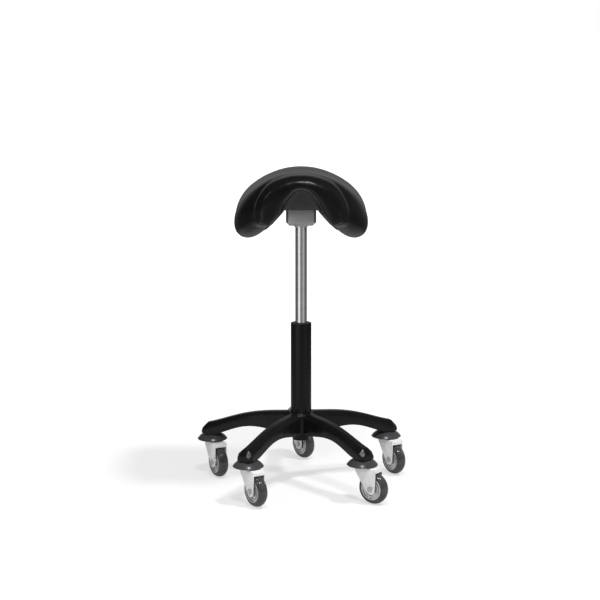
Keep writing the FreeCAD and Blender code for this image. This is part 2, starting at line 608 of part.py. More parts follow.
def sections(extra=0.0, ends=END_TURNS):
    """The saddle's sections from front to back, its ends rolled over, drawn in by an extra inset."""
    result = [Section(value(station), name, extra, extra) for station, name in STATIONS]
    for name, forwards in (("pommel", -1), ("cantle", 1)):
        depth = value("roll_depth")
        rolled = []
        for turn in ends:
            angle = math.radians(turn)
            drawn_in = [value(size) - (value(size) - extra) * math.cos(angle) for size in
                        ("roll_above", "roll_below")]
            rolled.append(Section(value(name + "_y") + forwards * (depth - extra) * math.sin(angle), name,
                                  *drawn_in))
        result = rolled + result if forwards < 0 else result + rolled[::-1]
    return result


def piping_cord(section):
    """Cord laid along the underside's edge at one end of the saddle."""
    proud = -value("piping_proud")
    path = Part.Wire(section.under_edges(proud, value("wrap_flank")))
    start = section.flank(proud, value("wrap_flank"), -1)
    after = section.flank(proud, 0, -1)
    ring = Part.Wire(Part.makeCircle(value("piping_radius"), start, after - start))
    return path.makePipeShell([ring], True, False)


def lofted(wires):
    return Part.makeLoft(wires, True)


def underside_band(low, high, run, start, end):
    """Band along the whole underside between two insets, cut off at a front and a back end."""
    reach = value("bed_half_width")
    tall = value("pommel_crown")
    slab = Part.makeBox(2 * reach, end - start, tall, Vector(-reach, start, 0))
    return lofted([section.band(low, high, run) for section in sections()]).common(slab)


def saddle():
    """Cover, foam, moulded shell, underside panel and piping of the saddle."""
    thick = value("cover_thick")
    flank = value("shell_flank")
    shell_top = thick + value("shell_thick")
    solid = lofted([section.wire() for section in sections()])
    core = lofted([section.wire() for section in sections(thick)])
    seams = sections(ends=SEAM_TURN)
    cutter = underside_band(-4 * thick, 4 * thick, value("wrap_flank"), seams[0].along, seams[-1].along)
    cords = [piping_cord(seams[0]), piping_cord(seams[-1])]
    half = value("plate_half_width")
    length = value("plate_front + plate_back")
    level = value("mount_top")
    front = -value("plate_front")
    gap = value("free_gap")
    bay = Part.makeBox(2 * (half + gap), length + 2 * gap, level, Vector(-half - gap, front - gap, 0))
    recess = Part.makeBox(2 * half, length, level + value("plate_height"), Vector(-half, front, 0))
    ends = (value("pommel_y"), value("cantle_y"))
    lining = underside_band(-4 * thick, shell_top, flank, *ends)
    shell = core.common(lining).cut(recess)
    foam = core.cut(lining)
    up = Vector(0, 0, 1)
    foot = level + value("plate_height")
    for spot in screw_spots():
        barrel = Part.makeCylinder(value("nut_radius"), value("nut_height"), spot + up * foot, up)
        pit = Part.makeCylinder(value("nut_flange_radius"), value("shell_thick"),
                                spot + up * (foot + value("nut_height")), up)
        shell = shell.cut(barrel).cut(pit)
    skin = solid.cut(core).cut(bay)
    panel = skin.common(cutter)
    cover = skin.cut(cutter)
    for cord in cords:
        panel = panel.cut(cord)
        cover = cover.cut(cord)
    made("seat_shell", shell)
    made("seat_foam", foam)
    made("seat_cover", cover)
    made("seat_bottom_cover", panel)
    made("seat_piping", Part.makeCompound(cords))


# Castors
def castor(number, yaw):
    """One castor: its stem and disc stay with the base, the fork swivels, the wheel rolls."""
    arm = "base_turn + %d * 360 / %d" % (number, CASTORS)
    name = "castor_%d_" % (number + 1)
    stem_x = "base_circle * cos(%s)" % arm
    stem_y = "base_circle * sin(%s)" % arm

    def stand(piece):
        place(piece, stem_x, stem_y, "0", "-" + yaw)

    def roll(piece):
        place(piece, "%s + castor_trail * cos(%s)" % (stem_x, yaw),
              "%s - castor_trail * sin(%s)" % (stem_y, yaw), "wheel_radius", "-" + yaw)

    crown_foot = "crown_top - fork_sheet"
    stand(turned(name + "stem", (
        ("0", crown_foot + " - rivet_height - running_gap"),
        ("rivet_radius", crown_foot + " - rivet_height - running_gap"),
        ("rivet_radius", crown_foot + " - running_gap"), ("rivet_shank", crown_foot + " - running_gap"),
        ("rivet_shank", "disc_seat - flange_height"), ("flange_radius", "disc_seat - flange_height"),
        ("flange_radius", "disc_seat"), ("stem_radius", "disc_seat"),
        ("stem_radius", "arm_end_low + stem_depth - edge_break"),
        ("0", "arm_end_low + stem_depth - edge_break"))))

    stand(turned(name + "disc", (
        ("stem_radius", "disc_seat"), ("disc_seat_radius", "disc_seat"),
        ("disc_radius - disc_rim_half", "disc_rim - disc_rim_half"), ("disc_radius", "disc_rim"),
        ("disc_radius - disc_rim_half", "disc_rim + disc_rim_half", "disc_dome_radius", -1),
        ("disc_neck_radius + disc_collar", "arm_end_low - disc_collar"),
        ("disc_neck_radius", "arm_end_low"), ("stem_radius", "arm_end_low"))))

    radius = value("swivel_ball_radius")
    ring = value("swivel_ball_circle")
    level = value("(crown_top + disc_seat - flange_height) / 2")
    count = int(value("swivel_balls"))
    balls = Part.makeCompound([Part.makeSphere(radius, Vector(
        ring * math.cos(2 * math.pi * index / count), ring * math.sin(2 * math.pi * index / count), level))
        for index in range(count)])
    stand(made(name + "swivel_balls", balls))

    fork = new_body(name + "fork")
    extrude(fork, "Pad", outline(fork, "XZ_Plane", (
        ("-fork_front", "crown_top"), ("-fork_front", "crown_top - fork_front_drop"),
        ("castor_trail - fork_eye_radius * cos(fork_front_turn)",
         "wheel_radius - fork_eye_radius * sin(fork_front_turn)", "fork_eye_radius", -1),
        ("castor_trail + fork_eye_radius * cos(fork_back_turn)",
         "wheel_radius - fork_eye_radius * sin(fork_back_turn)"),
        ("fork_back", "crown_top - fork_back_drop"), ("fork_back", "crown_top"))),
        "2 * (fork_inner_half + fork_sheet)", both_ways=True)
    doc.recompute()
    crown = value("crown_top")
    block = fork.Tip
    edges = ["Edge%d" % (index + 1) for index, edge in enumerate(block.Shape.Edges)
             if abs(edge.BoundBox.ZMin - crown) < 0.01 and edge.BoundBox.YLength < 0.01]
    bend = fork.newObject("PartDesign::Fillet", "bend")
    bend.Base = (block, edges)
    bend.setExpression("Radius", cell("fork_bend"))
    fork.Tip = bend
    extrude(fork, "Pad", circle(fork, "XY_Plane", ("0", "0"), "raceway_radius", crown_foot), "fork_sheet")
    extrude(fork, "Pocket", outline(fork, "XZ_Plane", (
        ("-2 * fork_back", crown_foot), ("-2 * fork_back", "0"), ("fork_back - fork_sheet", "0"),
        ("fork_back - fork_sheet", crown_foot))), "2 * fork_inner_half", both_ways=True)
    extrude(fork, "Pocket", outline(fork, "XZ_Plane", (
        ("fork_back - 2 * fork_sheet", "fork_skirt"), ("fork_back - 2 * fork_sheet", "0"),
        ("2 * fork_back", "0"), ("2 * fork_back", "fork_skirt"))), "2 * fork_inner_half", both_ways=True)
    extrude(fork, "Pocket", circle(fork, "XY_Plane", ("0", "0"), "rivet_shank + running_gap",
                                   "crown_top + fork_sheet"), "3 * fork_sheet")
    extrude(fork, "Pocket", circle(fork, "XZ_Plane", ("castor_trail", "wheel_radius"), "axle_radius"),
            "4 * fork_inner_half", both_ways=True)
    stand(fork)

    outer = value("fork_inner_half + fork_sheet")
    across = Vector(0, 1, 0)
    shank = value("axle_radius")
    hexagon = value("axle_head_radius")
    head_height = value("axle_head_height")
    nut_height = value("axle_nut_height")
    head = hex_prism(hexagon, head_height, -outer - head_height)
    bolt = head.fuse(Part.makeCylinder(shank, 2 * outer + nut_height + value("axle_tail"),
                                       Vector(0, -outer, 0), across))
    nut = hex_prism(hexagon, nut_height, outer).cut(
        Part.makeCylinder(shank, nut_height * 3, Vector(0, outer - nut_height, 0), across))
    roll(made(name + "axle", Part.makeCompound([bolt, nut])))

    rib_low = "hub_rib_radius - hub_rib_width"
    rim_low = "tyre_inner_radius - hub_rib_width"
    face = "hub_face_half_width"
    rib = "hub_face_half_width + hub_rib_height"
    boss = "fork_inner_half - free_gap"
    roll(turned(name + "hub", (
        ("axle_radius + running_gap", "-(%s)" % boss), ("boss_radius - edge_break", "-(%s)" % boss),
        ("boss_radius", "-(%s)" % face), (rib_low, "-(%s)" % face), (rib_low, "-(%s)" % rib),
        ("hub_rib_radius", "-(%s)" % rib), ("hub_rib_radius", "-(%s)" % face),
        (rim_low, "-(%s)" % face), (rim_low, "-(%s)" % rib), ("tyre_inner_radius", "-(%s)" % rib),
        ("tyre_inner_radius", rib), (rim_low, rib), (rim_low, face),
        ("hub_rib_radius", face), ("hub_rib_radius", rib), (rib_low, rib), (rib_low, face),
        ("boss_radius", face), ("boss_radius - edge_break", boss), ("axle_radius + running_gap", boss)),
        "XY_Plane"))

    shoulder = "wheel_radius - tread_radius + sqrt(tread_radius ^ 2 - (wheel_half_width - edge_break) ^ 2)"
    roll(turned(name + "tyre", (
        ("tyre_inner_radius", "-wheel_half_width"),
        (shoulder + " - tyre_round", "-wheel_half_width"),
        (shoulder, "-wheel_half_width + edge_break", "tread_radius", -1),
        (shoulder, "wheel_half_width - edge_break"),
        (shoulder + " - tyre_round", "wheel_half_width"), ("tyre_inner_radius", "wheel_half_width")),
        "XY_Plane"))


def hex_prism(radius, height, start):
    """Hexagonal prism along +Y from a start, standing on a flat."""
    corners = [Vector(radius * math.cos(math.radians(60 * index)), start,
                      radius * math.sin(math.radians(60 * index))) for index in range(6)]
    face = Part.Face(Part.makePolygon(corners + corners[:1]))
    return face.extrude(Vector(0, height, 0))


star_base()
column()
gas_lift()
cylinder()
mount()
lever()
seat_fasteners()
saddle()
for order, yaw_name in enumerate(("castor_yaw_first", "castor_yaw_second", "castor_yaw_third",
                                  "castor_yaw_fourth", "castor_yaw_fifth")):
    castor(order, yaw_name)

doc.recompute()
for item in doc.Objects:
    if "Invalid" in item.State or "Error" in item.State:
        raise RuntimeError("%s is %s" % (item.Label, item.State))
for piece in PIECES:
    if piece.Shape.isNull() or not piece.Shape.isValid():
        raise RuntimeError(piece.Label + " has no valid shape")

os.makedirs("parts", exist_ok=True)
for piece in PIECES:
    piece.Shape.exportStep("parts/%s.step" % piece.Label)
print("%d pieces written" % len(PIECES))
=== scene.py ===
"""Saddle stool: padded saddle with its seams and underside, gas lift, star base and castors."""
import json
import math

import bmesh
import bpy
import numpy as np
from mathutils import Matrix, Vector
from mathutils.bvhtree import BVHTree

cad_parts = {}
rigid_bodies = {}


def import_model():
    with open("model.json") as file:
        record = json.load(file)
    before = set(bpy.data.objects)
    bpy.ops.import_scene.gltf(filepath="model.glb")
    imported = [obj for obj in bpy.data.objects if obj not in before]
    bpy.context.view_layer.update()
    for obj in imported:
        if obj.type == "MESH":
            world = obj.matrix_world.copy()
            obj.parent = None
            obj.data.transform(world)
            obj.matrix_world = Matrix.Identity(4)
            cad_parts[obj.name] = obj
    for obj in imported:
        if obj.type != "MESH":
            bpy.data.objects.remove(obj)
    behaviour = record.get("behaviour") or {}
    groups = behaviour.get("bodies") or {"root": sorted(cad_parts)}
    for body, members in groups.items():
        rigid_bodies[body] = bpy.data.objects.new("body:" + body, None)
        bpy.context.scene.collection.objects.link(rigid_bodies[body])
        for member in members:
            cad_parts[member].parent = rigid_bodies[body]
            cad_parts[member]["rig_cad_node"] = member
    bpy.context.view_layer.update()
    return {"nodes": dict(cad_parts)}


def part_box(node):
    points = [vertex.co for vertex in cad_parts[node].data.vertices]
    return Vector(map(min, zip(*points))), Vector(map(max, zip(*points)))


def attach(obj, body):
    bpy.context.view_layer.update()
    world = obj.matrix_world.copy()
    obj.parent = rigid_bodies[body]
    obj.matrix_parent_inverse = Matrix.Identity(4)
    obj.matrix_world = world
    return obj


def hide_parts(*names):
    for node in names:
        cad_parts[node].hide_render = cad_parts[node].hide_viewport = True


bl_info = {
    "name": "Saddle stool",
    "version": (1, 0, 0),
    "blender": (4, 5, 0),
    "location": "View3D > Sidebar > Stool",
    "description": "Models the padded saddle and finishes the lift, base and castors",
    "category": "Object",
}

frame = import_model()
NODES = frame["nodes"]
CASTORS = range(1, 6)
FINISHES = {}


class StoolSizes(bpy.types.PropertyGroup):
    """Sizes of the upholstery and of the softened edges."""

    mesh_step: bpy.props.FloatProperty(
        name="Mesh step", description="Cell of the saddle's mesh",
        default=0.005, min=0.003, unit="LENGTH")
    shrink: bpy.props.FloatProperty(
        name="Shrink", description="How far the padding starts inside its outline",
        default=0.001, unit="LENGTH")
    swell: bpy.props.FloatProperty(
        name="Swell", description="Most that the padding may swell",
        default=0.007, unit="LENGTH")
    lobe_lift: bpy.props.FloatProperty(
        name="Lobe lift", description="How far the lobes' padding is drawn up",
        default=0.011, unit="LENGTH")
    flank_pad: bpy.props.FloatProperty(
        name="Flank padding", description="Padding pushed into the front hollow",
        default=0.011, unit="LENGTH")
    front_bulge: bpy.props.FloatProperty(
        name="Front bulge", description="How round the front roll is",
        default=0.7)
    pressure: bpy.props.FloatProperty(
        name="Pressure", description="Push of the padding on the cover",
        default=4.0)
    piping_radius: bpy.props.FloatProperty(
        name="Piping radius", description="Radius of the piping cord",
        default=0.0021, unit="LENGTH")
    panel_thickness: bpy.props.FloatProperty(
        name="Panel thickness", description="Vinyl under the saddle",
        default=0.0012, unit="LENGTH")
    stitch_length: bpy.props.FloatProperty(
        name="Stitch length", description="Length of one stitch",
        default=0.0034, unit="LENGTH")
    stitch_step: bpy.props.FloatProperty(
        name="Stitch step", description="Distance between stitches",
        default=0.005, unit="LENGTH")
    edge_round: bpy.props.FloatProperty(
        name="Edge round", description="Rounding of the moulded base's edges",
        default=0.0016, unit="LENGTH")


class StoolColours(bpy.types.PropertyGroup):
    """Colours of the stool's materials."""

    leather: bpy.props.FloatVectorProperty(
        name="Leather", description="Saddle cover",
        subtype="COLOR", size=4, default=(0.005, 0.005, 0.0056, 1))
    vinyl: bpy.props.FloatVectorProperty(
        name="Vinyl", description="Panel under the saddle",
        subtype="COLOR", size=4, default=(0.012, 0.012, 0.013, 1))
    nylon: bpy.props.FloatVectorProperty(
        name="Nylon", description="Star base",
        subtype="COLOR", size=4, default=(0.006, 0.006, 0.0065, 1))
    powder: bpy.props.FloatVectorProperty(
        name="Powder coat", description="Column",
        subtype="COLOR", size=4, default=(0.005, 0.005, 0.0055, 1))
    mount: bpy.props.FloatVectorProperty(
        name="Mount", description="Paint of the seat mount",
        subtype="COLOR", size=4, default=(0.46, 0.46, 0.465, 1))
    disc: bpy.props.FloatVectorProperty(
        name="Disc", description="Bumper discs over the castors",
        subtype="COLOR", size=4, default=(0.045, 0.045, 0.048, 1))
    zinc: bpy.props.FloatVectorProperty(
        name="Zinc", description="Castor forks",
        subtype="COLOR", size=4, default=(0.9, 0.9, 0.9, 1))
    hub: bpy.props.FloatVectorProperty(
        name="Wheel hub", description="Wheel centres",
        subtype="COLOR", size=4, default=(0.6, 0.6, 0.61, 1))
    tyre: bpy.props.FloatVectorProperty(
        name="Tyre", description="See-through grey tyres",
        subtype="COLOR", size=4, default=(0.06, 0.06, 0.063, 1))


# Materials

# Most values of a noise, and of a pattern of cells, lie between these
NOISE_LOW, NOISE_HIGH = 0.3, 0.7
CELLS_LOW, CELLS_HIGH = 0.1, 0.6

# Darker and lighter colour of the finishes that the panel has no colour for
PIPING_COLOURS = (0.006, 0.006, 0.007, 1), (0.014, 0.014, 0.015, 1)
THREAD_COLOURS = (0.012, 0.012, 0.013, 1), (0.035, 0.035, 0.037, 1)
CHROME_COLOURS = (0.7, 0.7, 0.71, 1), (0.8, 0.8, 0.81, 1)
STEEL_COLOURS = (0.5, 0.5, 0.51, 1), (0.68, 0.68, 0.68, 1)
ALUMINIUM_COLOURS = (0.5, 0.5, 0.52, 1), (0.66, 0.66, 0.68, 1)
FOAM_COLOURS = (0.5, 0.46, 0.33, 1), (0.8, 0.76, 0.6, 1)

# How much the paint's edges are lightened at most by a painted highlight, standing for the floor's
# reflection on the bevels, and the pointiness at which it begins and ends
EDGE_HIGHLIGHT = 0.6
EDGE_FROM, EDGE_TO = 0.505, 0.55


class Wire:
    """A value or colour in a finish. Arithmetic on it adds Math nodes."""

    def __init__(self, finish, socket):
        self.finish = finish
        self.socket = socket

    def math(self, operation, first, second):
        return self.finish.node("ShaderNodeMath", {"operation": operation}, {0: first, 1: second})

    def __add__(self, other):
        return self.math("ADD", self, other)

    def __sub__(self, other):
        return self.math("SUBTRACT", self, other)

    def __rsub__(self, other):
        return self.math("SUBTRACT", other, self)

    def __mul__(self, other):
        return self.math("MULTIPLY", self, other)

    __radd__ = __add__
    __rmul__ = __mul__


class Finish:
    """A procedural material in the making, its pattern fixed to the piece."""

    def __init__(self, name):
        self.material = bpy.data.materials.new(name)
        self.material.use_nodes = True
        self.tree = self.material.node_tree
        self.surface = self.tree.nodes["Principled BSDF"]
        self.place = self.node("ShaderNodeTexCoord", output="Object")

    def node(self, kind, settings=None, values=None, output=0):
        """Adds a node, sets it up, feeds its sockets and returns one of its outputs."""
        added = self.tree.nodes.new(kind)
        for key, item in (settings or {}).items():
            setattr(added, key, item)
        for key, item in (values or {}).items():
            self.feed(added.inputs[key], item)
        return Wire(self, added.outputs[output])

    def feed(self, socket, item):
        if isinstance(item, Wire):
            self.tree.links.new(item.socket, socket)
        else:
            socket.default_value = item

    def noise(self, scale, detail=3.0, roughness=0.5, place=None):
        return self.node("ShaderNodeTexNoise", None, {
            "Vector": place or self.place, "Scale": scale, "Detail": detail,
            "Roughness": roughness})

    def cells(self, scale):
        return self.node("ShaderNodeTexVoronoi", {"feature": "SMOOTH_F1"}, {
            "Vector": self.place, "Scale": scale})

    def stretched(self, along):
        """The piece's place with each direction scaled."""
        return self.node("ShaderNodeMapping", None, {"Vector": self.place, "Scale": along})

    def limits(self, value, low, high, first=0.0, second=1.0):
        """The value's share of the way from low to high, as a number between two others."""
        return self.node("ShaderNodeMapRange", {"clamp": True}, {
            "Value": value, "From Min": low, "From Max": high,
            "To Min": first, "To Max": second})

    def spread(self, noise, first=0.0, second=1.0):
        """A noise made to run from one number to another."""
        return self.limits(noise, NOISE_LOW, NOISE_HIGH, first, second)

    def between(self, share, first, second):
        return self.node("ShaderNodeMix", {"data_type": "RGBA"},
                         {0: share, 6: first, 7: second}, output=2)

    def clouded(self, share, base, dark, light):
        """The base colour, darkened and lightened by two factors."""
        return self.between(share, shade(base, dark), shade(base, light))

    def raised(self, height, depth, strength):
        """Bumps of the surface, depth metres high."""
        self.finish_input("Normal", self.node("ShaderNodeBump", None, {
            "Strength": strength, "Distance": depth, "Height": height}))

    def finish_input(self, name, item):
        self.feed(self.surface.inputs[name], item)

    def inputs(self, **values):
        for name, item in values.items():
            self.finish_input(name.replace("_", " "), item)


def shade(colour, factor):
    return tuple(min(channel * factor, 1.0) for channel in colour[:3]) + (1.0,)


def colours():
    return bpy.context.scene.stool_colours


def leather():
    """Smooth black upholstery leather: fine pores, soft creases and a slightly rubbed sheen."""
    base = tuple(colours().leather)
    made = Finish("seat_leather")
    pores = made.cells(820.0)
    pebble = made.noise(260.0, 4.0, 0.6)
    creases = made.noise(34.0, 3.0, 0.55, made.stretched((1.0, 0.45, 1.0)))
    clouds = made.noise(9.0, 2.0, 0.5)
    made.inputs(Base_Color=made.clouded(made.limits(clouds, 0.35, NOISE_HIGH), base, 0.8, 1.35),
                Roughness=made.limits(pebble + clouds * 0.6, 0.55, 1.05, 0.23, 0.33),
                Specular_IOR_Level=0.23)
    made.raised(pores * 0.5 + pebble * 0.35 + creases * 0.5, 0.0003, 0.14)
    return made.material


def vinyl():
    """Dull vinyl under the saddle, with a pressed grain."""
    base = tuple(colours().vinyl)
    made = Finish("underside_vinyl")
    grain = made.cells(600.0)
    slack = made.noise(22.0, 3.0, 0.5)
    made.inputs(Base_Color=made.clouded(made.spread(slack), base, 0.75, 1.3),
                Roughness=made.limits(grain, CELLS_LOW, CELLS_HIGH, 0.5, 0.68))
    made.raised(grain * 0.4 + slack * 1.2, 0.0008, 0.6)
    return made.material


def piping():
    made = Finish("piping_black")
    grain = made.cells(900.0)
    made.inputs(Base_Color=made.between(made.noise(40.0), *PIPING_COLOURS),
                Roughness=made.limits(grain, CELLS_LOW, CELLS_HIGH, 0.34, 0.48))
    made.raised(grain, 0.0002, 0.5)
    return made.material


def thread():
    made = Finish("black_thread")
    twist = made.node(
        "ShaderNodeTexWave", {"wave_type": "BANDS", "bands_direction": "DIAGONAL"},
        {"Vector": made.place, "Scale": 900.0, "Distortion": 1.0})
    made.inputs(Base_Color=made.between(twist, *THREAD_COLOURS), Roughness=0.6)
    made.raised(twist, 0.0002, 0.6)
    return made.material


def nylon():
    """Glossy black moulded nylon: faint flow marks and a light orange peel."""
    base = tuple(colours().nylon)
    made = Finish("base_nylon")
    peel = made.noise(140.0, 2.0, 0.5)
    flow = made.noise(12.0, 4.0, 0.6)
    scuffs = made.limits(made.noise(420.0, 5.0, 0.7), 0.62, 0.72)
    made.inputs(Base_Color=made.clouded(made.spread(flow), base, 0.8, 1.4),
                Roughness=made.spread(flow, 0.22, 0.3) + scuffs * 0.1,
                Specular_IOR_Level=0.24)
    made.raised(peel + scuffs * 0.3, 0.0002, 0.15)
    return made.material


def powder_coat():
    base = tuple(colours().powder)
    made = Finish("column_black")
    grain = made.noise(900.0, 3.0, 0.6)
    drift = made.noise(14.0, 2.0, 0.5)
    made.inputs(Base_Color=made.clouded(drift, base, 0.8, 1.4),
                Roughness=made.spread(grain, 0.22, 0.34), Specular_IOR_Level=0.2)
    made.raised(grain, 0.00008, 0.15)
    return made.material


def chrome():
    """Ground and chromed lift cylinder: drawn lines along it and faint polishing bands."""
    made = Finish("lift_chrome")
    drawn = made.noise(300.0, 4.0, 0.6, made.stretched((1.0, 1.0, 0.02)))
    bands = made.noise(60.0, 3.0, 0.5, made.stretched((0.05, 0.05, 1.0)))
    made.inputs(Base_Color=made.between(made.spread(bands), *CHROME_COLOURS), Metallic=1.0,
                Roughness=made.limits(drawn + bands * 0.4, 0.4, 1.0, 0.13, 0.24))
    made.raised(drawn, 0.00005, 0.3)
    return made.material


def bright_steel():
    made = Finish("bright_steel")
    frost = made.noise(500.0, 5.0, 0.65)
    stain = made.noise(40.0, 3.0, 0.6)
    made.inputs(Base_Color=made.between(made.spread(stain), *STEEL_COLOURS), Metallic=1.0,
                Roughness=made.limits(frost + stain * 0.5, 0.5, 1.0, 0.22, 0.4))
    made.raised(frost, 0.00006, 0.4)
    return made.material


def zinc():
    """Bright zinc-plated sheet of the forks: almost white, with a frosted grain."""
    base = tuple(colours().zinc)
    made = Finish("fork_zinc")
    frost = made.noise(700.0, 5.0, 0.7)
    drawn = made.noise(260.0, 3.0, 0.5, made.stretched((1.0, 1.0, 0.1)))
    cloud = made.noise(45.0, 3.0, 0.6)
    made.inputs(Base_Color=made.clouded(made.spread(cloud), base, 0.88, 1.08), Metallic=0.12,
                Roughness=made.limits(frost + drawn * 0.5, 0.5, 1.0, 0.22, 0.38))
    made.raised(frost * 0.5 + drawn * 0.5, 0.00008, 0.4)
    return made.material


def aluminium():
    made = Finish("aluminium_grey")
    turned = made.noise(500.0, 3.0, 0.5, made.stretched((0.05, 0.05, 1.0)))
    made.inputs(Base_Color=made.between(turned, *ALUMINIUM_COLOURS), Metallic=1.0,
                Roughness=made.spread(turned, 0.25, 0.4))
    made.raised(turned, 0.00006, 0.4)
    return made.material


def mount_paint():
    """Grey satin paint on pressed steel, its sharp edges lightened by a painted highlight."""
    base = tuple(colours().mount)
    made = Finish("mount_grey")
    peel = made.noise(320.0, 3.0, 0.5)
    drift = made.noise(18.0, 3.0, 0.5)
    pointed = made.node("ShaderNodeNewGeometry", output="Pointiness")
    # Painted highlight: sharp edges are painted lighter, standing for the floor's reflection on the
    # bevels
    edge = made.limits(pointed, EDGE_FROM, EDGE_TO)
    paint = made.clouded(made.spread(drift), base, 0.85, 1.2)
    made.inputs(Base_Color=made.between(edge * EDGE_HIGHLIGHT, paint, shade(base, 1.8)),
                Metallic=0.85, Roughness=made.spread(peel, 0.28, 0.38))
    made.raised(peel, 0.00012, 0.4)
    return made.material


def disc_plastic():
    base = tuple(colours().disc)
    made = Finish("disc_grey")
    texture = made.noise(520.0, 3.0, 0.6)
    drift = made.noise(30.0, 3.0, 0.6)
    made.inputs(Base_Color=made.clouded(made.spread(drift), base, 0.85, 1.25),
                Roughness=made.spread(texture, 0.22, 0.32))
    made.raised(texture, 0.0001, 0.3)
    return made.material


def hub_plastic():
    """Silvered plastic of the wheel centres."""
    base = tuple(colours().hub)
    made = Finish("wheel_hub_grey")
    metal = made.noise(900.0, 2.0, 0.6)
    drift = made.noise(70.0, 3.0, 0.6)
    made.inputs(Base_Color=made.clouded(made.spread(drift), base, 0.8, 1.2),
                Metallic=made.limits(metal, 0.35, 0.65, 0.75, 0.95),
                Roughness=made.spread(drift, 0.16, 0.28))
    made.raised(metal, 0.0001, 0.35)
    return made.material


def tyre_rubber():
    """See-through grey tyre: clear enough to glow at its edge, dusty on the tread."""
    base = tuple(colours().tyre)
    made = Finish("tyre_clear")
    dust = made.noise(160.0, 4.0, 0.6)
    drift = made.noise(35.0, 3.0, 0.6)
    made.inputs(Base_Color=made.clouded(made.spread(drift), base, 0.8, 1.5),
                Roughness=made.limits(dust, 0.35, NOISE_HIGH, 0.06, 0.16),
                Transmission_Weight=0.3, IOR=1.5)
    made.raised(dust, 0.0001, 0.3)
    return made.material


def matte_black(name, tint, low, high):
    """Dull black plastic or rubber, its roughness between low and high."""
    made = Finish(name)
    spark = made.noise(650.0, 4.0, 0.6)
    drift = made.noise(28.0, 3.0, 0.5)
    made.inputs(Base_Color=made.clouded(made.spread(drift), tint, 0.75, 1.4),
                Roughness=made.spread(spark, low, high))
    made.raised(spark, 0.00015, 0.5)
    return made.material


def foam():
    made = Finish("seat_foam")
    pores = made.cells(700.0)
    made.inputs(Base_Color=made.between(pores, *FOAM_COLOURS), Roughness=0.95)
    made.raised(pores, 0.0005, 0.8)
    return made.material


MAKERS = {
    "seat_leather": leather, "underside_vinyl": vinyl, "piping_black": piping,
    "black_thread": thread, "base_nylon": nylon, "column_black": powder_coat,
    "lift_chrome": chrome, "bright_steel": bright_steel, "fork_zinc": zinc,
    "aluminium_grey": aluminium, "mount_grey": mount_paint, "disc_grey": disc_plastic,
    "wheel_hub_grey": hub_plastic, "tyre_clear": tyre_rubber, "seat_foam": foam,
}
MATTE_BLACKS = {
    "black_rubber": ((0.02, 0.02, 0.02, 1), 0.6, 0.8),
    "bush_plastic": ((0.026, 0.026, 0.027, 1), 0.42, 0.58),
    "grip_plastic": ((0.018, 0.018, 0.018, 1), 0.38, 0.52),
    "shell_plastic": ((0.04, 0.04, 0.04, 1), 0.4, 0.55),
}


def finish(slot):
    """The material of a slot, made when first asked for."""
    if slot not in FINISHES:
        if slot in MATTE_BLACKS:
            FINISHES[slot] = matte_black(slot, *MATTE_BLACKS[slot])
        else:
            FINISHES[slot] = MAKERS[slot]()
    return FINISHES[slot]


def dress(piece, slot):
    """Gives a piece its material."""
    piece.data.materials.clear()
    piece.data.materials.append(finish(slot))
    for face in piece.data.polygons:
        face.material_index = 0
    "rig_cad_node" not in piece


def dress_nodes(slots):
    """Gives CAD nodes the materials of their slots."""
    for node, slot in slots.items():
        for place in NODES[node].material_slots:
            place.material = finish(slot)


# Modelling

MERGED_WITHIN = 0.00001
FLAT_ANGLE = math.radians(0.6)
CORNER_ANGLE = math.radians(28)
SHARP_ANGLE = math.radians(35)
LOOSE_ANGLE = math.radians(50)


def pick_none():
    if bpy.context.mode != "OBJECT":
        bpy.ops.object.mode_set(mode="OBJECT")
    bpy.ops.object.select_all(action="DESELECT")


def pick(*pieces):
    """Selects only these pieces, the first of them active."""
    pick_none()
    for piece in pieces:
        piece.select_set(True)
    bpy.context.view_layer.objects.active = pieces[0]


def linked(name, data):
    """New object in the scene's collection."""
    piece = bpy.data.objects.new(name, data)
    bpy.context.scene.collection.objects.link(piece)
    return piece


def on_whole_mesh(operation, **settings):
    """Runs a mesh operation on all of the active piece."""
    bpy.ops.object.mode_set(mode="EDIT")
    bpy.ops.mesh.select_all(action="SELECT")
    operation(**settings)
    bpy.ops.object.mode_set(mode="OBJECT")


def copied(name, *nodes):
    """One merged copy of several CAD nodes."""
    copies = [linked(name, NODES[node].data.copy()) for node in nodes]
    pick(*copies)
    if len(copies) > 1:
        bpy.ops.object.join()
    piece = bpy.context.view_layer.objects.active
    on_whole_mesh(bpy.ops.mesh.remove_doubles, threshold=MERGED_WITHIN)
    bpy.ops.mesh.customdata_custom_splitnormals_clear()
    piece.name = name
    return piece


def modified(piece, kind, **settings):
    """Adds a modifier and applies it."""
    pick(piece)
    added = piece.modifiers.new(kind.title(), kind)
    for key, item in settings.items():
        setattr(added, key, item)
    bpy.ops.object.modifier_apply(modifier=added.name)


def smoothed(piece, times, factor=0.5):
    modified(piece, "SMOOTH", factor=factor, iterations=times)


def bevelled(piece, width, segments, angle):
    """Rounds the edges that are sharper than an angle."""
    modified(piece, "BEVEL", width=width, segments=segments, limit_method="ANGLE",
             angle_limit=angle)


def points_of(piece, kind="co"):
    """Each point's place, or another vector of it."""
    found = np.zeros(len(piece.data.vertices) * 3, np.float32)
    piece.data.vertices.foreach_get(kind, found)
    return found.reshape(-1, 3).astype(float)


def directions_of(piece):
    """Each point's direction out of the surface."""
    return points_of(piece, "normal")


def move_points(piece, spots):
    piece.data.vertices.foreach_set("co", spots.astype(np.float32).ravel())
    piece.data.update()


def surface_of(piece):
    """The piece's surface, for laying other pieces on it."""
    shape = bmesh.new()
    shape.from_mesh(piece.data)
    tree = BVHTree.FromBMesh(shape)
    shape.free()
    return tree


